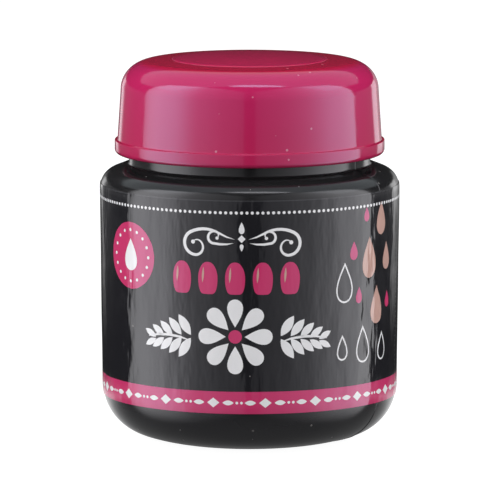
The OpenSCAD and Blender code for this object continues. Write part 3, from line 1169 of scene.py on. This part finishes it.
def foilMaterial():
    f = foilLook
    material, tree, shader = newMaterial("rolledFoil", f["shader"])
    skin = placeGroup(tree, mouldedSkin, mapped(tree, f["rolled"]), Scale=f["streak"], Fine=f["grain"])
    tree.links.new(mixColour(tree, skin.outputs["Tone"], f["low"], f["high"]), shader.inputs["Base Color"])
    crease = placeGroup(tree, mouldedSkin, mapped(tree), Scale=f["crease"], Fine=f["creaseGrain"])
    addBump(tree, shader, crease.outputs["Height"], f["bump"], f["bumpDepth"])
    return material


def linerMaterial():
    f = linerLook
    material, tree, shader = newMaterial("linerFoam", f["shader"])
    place = mapped(tree)
    skin = placeGroup(tree, mouldedSkin, place, Scale=f["cloud"], Fine=f["grain"])
    tree.links.new(mixColour(tree, skin.outputs["Tone"], f["low"], f["high"]), shader.inputs["Base Color"])
    addBump(tree, shader, cellPattern(tree, place, f["cells"]), f["bump"], f["bumpDepth"])
    return material


def makeSeal():
    s = sealFoil
    foil = foilMaterial()
    top = s["base"] + s["thickness"]
    edge = s["radius"] - s["edgeIn"]
    bm, pen = startPen(0, s["base"])
    linesTo(
        bm, pen, (s["radius"] / 2, s["base"]), (edge, s["base"]), (edge, s["base"] + s["edgeHeight"]),
        (s["radius"] - s["rollWidth"], top), (0, top))
    spinRound(bm, s["steps"])
    seal = makePiece(bm, "sealFoil", foil, "seal")
    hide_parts("foil_seal")
    bm = bmesh.new()
    bmesh.ops.create_circle(bm, cap_ends=True, segments=s["steps"], radius=s["radius"] - s["tabIn"])
    bmesh.ops.bisect_plane(
        bm, geom=allOf(bm), plane_co=(0, s["fold"], 0), plane_no=(0, 1, 0), clear_inner=True)
    bmesh.ops.holes_fill(bm, edges=[e for e in bm.edges if e.is_boundary])
    bmesh.ops.translate(bm, verts=bm.verts[:], vec=(0, 0, top))
    raised = vertsOf(bmesh.ops.extrude_face_region(bm, geom=bm.faces[:])["geom"])
    bmesh.ops.translate(bm, verts=raised, vec=(0, 0, s["tab"] - s["tabSink"]))
    makePiece(bm, "pullTab", foil, "seal")


def makeLiner():
    # The rim of the mouth has pressed a ring into the foam
    s = linerDisc
    bm, pen = startPen(0, s["low"])
    mouth = (jar["mouthX"] + jar["neckX"]) / 2
    linesTo(
        bm, pen, (mouth + s["pressFrom"], s["low"]), (mouth + s["pressIn"], s["low"] + s["pressed"]),
        (mouth + s["pressOut"], s["low"] + s["pressed"]), (s["radius"], s["low"] + s["edgeUp"]),
        (s["radius"], s["high"]), (0, s["high"]))
    spinRound(bm, s["steps"])
    liner = makePiece(bm, "linerDisc", linerMaterial(), "liner")
    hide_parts("lid_liner")


makeSeal()
makeLiner()
print("seal and liner made")

# The floor, the camera, the lights and the world

floorLook = {
    "radius": 4.0, "down": 0.02 * mm, "colour": 0.2,
    "nearGlow": 0.97, "farGlow": 1.0, "glowRange": (0.08, 0.4),
    "mirrored": (0.17, 1.0), "behindRange": (-0.012, 0.022),
    "plateRange": (0.022, 0.055), "rearRange": (0.05, 0.1),
}


def seenDirectly(tree, path):
    return mathNode(tree, "MAXIMUM", path.outputs["Is Camera Ray"], path.outputs["Is Transmission Ray"])


def floorMaterial():
    f = floorLook
    material = bpy.data.materials.new("paleFloor")
    material.use_nodes = True
    tree = material.node_tree
    tree.nodes.remove(tree.nodes["Principled BSDF"])
    path = tree.nodes.new("ShaderNodeLightPath")
    diffuse = tree.nodes.new("ShaderNodeBsdfDiffuse")
    diffuse.inputs["Color"].default_value = (f["colour"],) * 3 + (1,)
    place = tree.nodes.new("ShaderNodeTexCoord")
    reach = tree.nodes.new("ShaderNodeVectorMath")
    reach.operation = "LENGTH"
    tree.links.new(place.outputs["Object"], reach.inputs[0])
    away = reach.outputs["Value"]
    rising = mathNode(tree, "MULTIPLY", ramp(tree, away, *f["glowRange"]), f["farGlow"] - f["nearGlow"])
    level = mathNode(tree, "ADD", rising, f["nearGlow"])
    # The jar's lower edge mirrors the bright floor behind it, and a dim one in front
    behind = ramp(tree, partsOf(tree, place.outputs["Object"])["Y"], *f["behindRange"])
    dim, bright = f["mirrored"]
    mirrored = mathNode(tree, "ADD", mathNode(tree, "MULTIPLY", behind, bright - dim), dim)
    mirrored = mathNode(tree, "MULTIPLY", path.outputs["Is Glossy Ray"], mirrored)
    seen = mathNode(tree, "MAXIMUM", seenDirectly(tree, path), mirrored)
    glow = tree.nodes.new("ShaderNodeEmission")
    tree.links.new(mathNode(tree, "MULTIPLY", level, seen), glow.inputs["Strength"])
    both = tree.nodes.new("ShaderNodeAddShader")
    tree.links.new(diffuse.outputs[0], both.inputs[0])
    tree.links.new(glow.outputs[0], both.inputs[1])
    # Past the near floor, reflections see the light walls instead
    beyond = ramp(tree, away, *f["plateRange"])
    beyond = mathNode(tree, "MULTIPLY", beyond, mathNode(tree, "SUBTRACT", 1.0, behind))
    beyond = mathNode(tree, "MAXIMUM", beyond, ramp(tree, away, *f["rearRange"]))
    clear = tree.nodes.new("ShaderNodeBsdfTransparent")
    pick = tree.nodes.new("ShaderNodeMixShader")
    tree.links.new(mathNode(tree, "MULTIPLY", path.outputs["Is Glossy Ray"], beyond), pick.inputs[0])
    tree.links.new(both.outputs[0], pick.inputs[1])
    tree.links.new(clear.outputs[0], pick.inputs[2])
    tree.links.new(pick.outputs[0], tree.nodes["Material Output"].inputs["Surface"])
    return material


def makeFloor():
    bm = bmesh.new()
    bmesh.ops.create_circle(bm, cap_ends=True, segments=64, radius=floorLook["radius"])
    floor = addObject("studioFloor", meshFrom(bm, "studioFloor"))
    floor.location.z = -floorLook["down"]
    floor.data.materials.append(floorMaterial())


view = {
    "elevation": 7.8, "distance": 1.26, "side": 0.07 * mm, "aim": 36.76 * mm, "focal": 6486, "frame": 500,
    "sensor": 36, "clip": (0.05, 20),
}


def makeCamera():
    data = bpy.data.cameras.new("camera")
    data.sensor_width = view["sensor"]
    data.lens = view["focal"] / view["frame"] * view["sensor"]
    data.clip_start, data.clip_end = view["clip"]
    camera = addObject("camera", data)
    rise = math.radians(view["elevation"])
    camera.location = (
        view["side"], -view["distance"] * math.cos(rise), view["aim"] + view["distance"] * math.sin(rise))
    camera.rotation_euler = (math.radians(90 - view["elevation"]), 0, 0)
    bpy.context.scene.camera = camera


# Lights: panels of a set radiance, placed so that their reflections fall where they should on the jar
wall = {
    "back": (0.5, 0.15), "front": (0.06, -0.7), "low": -0.5, "high": 0.66, "fade": 0.24, "radiance": 3.4,
    "tops": [(0.03, 0.05), (0.05, 0.2), (0.11, 0.34), (0.17, 0.42), (0.26, 0.46), (0.42, 0.52), (0.6, 0.6),
             (1, 0.64)],
    "topFade": 0.02,
}
wallLevels = {
    "left": [(0, 0.25), (0.05, 0.5), (0.11, 0.78), (0.2, 0.96), (0.3, 0.92), (0.35, 0.85), (0.4, 0.68),
             (0.45, 0.46), (0.5, 0.31), (0.6, 0.22), (0.7, 0.155), (0.8, 0.13), (0.9, 0.11), (1, 0.09)],
    "right": [(0, 0.6), (0.04, 0.85), (0.1, 0.87), (0.2, 0.8), (0.3, 0.72), (0.4, 0.47), (0.45, 0.35),
              (0.5, 0.27), (0.6, 0.18), (0.7, 0.13), (0.8, 0.105), (0.9, 0.085), (1, 0.06)],
}
rim = {"front": (0.58, 0.18), "back": (0.12, 0.6), "low": -0.07, "high": 0.12, "fade": 0.45, "radiance": 1.8}
rimLevels = {
    "left": [(0, 0.12), (0.25, 0.09), (0.6, 0.1), (0.67, 0.35), (0.7, 0.75), (0.8, 0.75), (0.86, 0.15),
             (1, 0.08)],
    "right": [(0, 0.2), (0.25, 0.14), (0.49, 0.12), (0.525, 1.0), (0.6, 0.9), (0.72, 0.75), (0.76, 0.3),
              (1, 0.2)],
}
overhead = {
    "front": -0.3, "back": 0.88, "height": 0.67, "width": 2.6, "radiance": 0.66, "colour": (0.9, 1, 1.03)}
crownLamp = {
    "elevation": 65, "distance": 0.62, "side": 0.06, "aim": 0.07, "size": (0.42, 0.1), "radiance": 3.4}
fills = {
    "frontFill": {"radiance": 0.95, "size": 0.9, "centre": (0, -1.1, 0.55), "aim": 0.04},
    "backFill": {"radiance": 0.7, "size": 0.9, "centre": (0, 1.1, 0.55), "aim": 0.04},
}


def rampNode(tree, stops, source):
    node = tree.nodes.new("ShaderNodeValToRGB")
    ends = node.color_ramp.elements
    ends[0].position, ends[0].color = stops[0][0], (stops[0][1],) * 3 + (1,)
    ends[1].position, ends[1].color = stops[-1][0], (stops[-1][1],) * 3 + (1,)
    for position, level in stops[1:-1]:
        ends.new(position).color = (level,) * 3 + (1,)
    tree.links.new(source, node.inputs["Fac"])
    return node.outputs["Color"]


def addAreaLight(name, matrix, width, height, radiance, shade=None):
    data = bpy.data.lights.new(name, "AREA")
    data.shape = "RECTANGLE"
    data.size, data.size_y = width, height
    data.energy = radiance * math.pi * width * height
    if shade:
        data.use_nodes = True
        tree = data.node_tree
        place = tree.nodes.new("ShaderNodeNewGeometry")
        parts = partsOf(tree, place.outputs["Parametric"])
        level = shade(tree, parts["X"], parts["Y"])
        tree.links.new(level, tree.nodes["Emission"].inputs["Color"])
    light = addObject(name, data)
    light.matrix_world = matrix
    light.visible_camera = False
    return light


def facing(centre, along, towards):
    # A light shines along its own -Z
    back = (Vector(centre) - Vector(towards)).normalized()
    side = Vector(along).normalized()
    back = (back - side * back.dot(side)).normalized()
    up = back.cross(side)
    rows = [(side[i], up[i], back[i], centre[i]) for i in range(3)]
    return Matrix((*rows, (0, 0, 0, 1)))


def makePanel(name, side, panel, start, end, levels):
    # An upright panel beside the jar, whose levels and top edge run from its start to its end
    first, last = [Vector((side * x, y, 0)) for x, y in (panel[start], panel[end])]
    tall = panel["high"] - panel["low"]
    tops = [(position, (top - panel["low"]) / tall) for position, top in panel.get("tops", [])]
    if (last - first).cross(Vector((0, 0, 1))).dot(first) < 0:
        first, last = last, first
        levels, tops = [
            [(1 - position, value) for position, value in reversed(stops)] for stops in (levels, tops)]

    def shade(tree, across, up):
        lit = ramp(tree, up, 0.0, panel["fade"])
        level = mathNode(tree, "MULTIPLY", rampNode(tree, levels, across), lit)
        if not tops:
            return level
        below = mathNode(tree, "SUBTRACT", rampNode(tree, tops, across), up)
        return mathNode(tree, "MULTIPLY", level, ramp(tree, below, 0.0, panel["topFade"]))

    centre = (first + last) / 2
    centre.z = (panel["low"] + panel["high"]) / 2
    matrix = facing(centre, last - first, (0, 0, centre.z))
    addAreaLight(name, matrix, (last - first).length, tall, panel["radiance"], shade)


def makeLights():
    for name, side in (("left", -1), ("right", 1)):
        makePanel(name + "Wall", side, wall, "back", "front", wallLevels[name])
        makePanel(name + "Rim", side, rim, "front", "back", rimLevels[name])
    centre = Vector((0, (overhead["front"] + overhead["back"]) / 2, overhead["height"]))
    top = addAreaLight(
        "overhead", facing(centre, (1, 0, 0), (centre.x, centre.y, 0)), overhead["width"],
        overhead["back"] - overhead["front"], overhead["radiance"])
    top.data.color = overhead["colour"]
    rise = math.radians(crownLamp["elevation"])
    reach, aim = crownLamp["distance"], crownLamp["aim"]
    centre = Vector((crownLamp["side"], -reach * math.cos(rise), aim + reach * math.sin(rise)))
    lamp = addAreaLight(
        "crownLamp", facing(centre, (1, 0, 0), (0, 0, aim)), *crownLamp["size"], crownLamp["radiance"])
    lamp.data.shape = "ELLIPSE"
    for name, fill in fills.items():
        matrix = facing(fill["centre"], (1, 0, 0), (0, 0, fill["aim"]))
        panel = addAreaLight(name, matrix, fill["size"], fill["size"], fill["radiance"])
        panel.visible_glossy = False


worldLook = {"fill": 0.02}


def makeWorld():
    world = bpy.data.worlds.new("studio")
    bpy.context.scene.world = world
    world.use_nodes = True
    tree = world.node_tree
    background = tree.nodes["Background"]
    seen = seenDirectly(tree, tree.nodes.new("ShaderNodeLightPath"))
    level = mathNode(tree, "MULTIPLY", seen, 1 - worldLook["fill"])
    tree.links.new(mathNode(tree, "ADD", level, worldLook["fill"]), background.inputs["Strength"])
    background.inputs["Color"].default_value = (1, 1, 1, 1)


makeFloor()
makeCamera()
makeLights()
makeWorld()
bpy.context.scene.view_settings.view_transform = "Standard"
print("studio made")
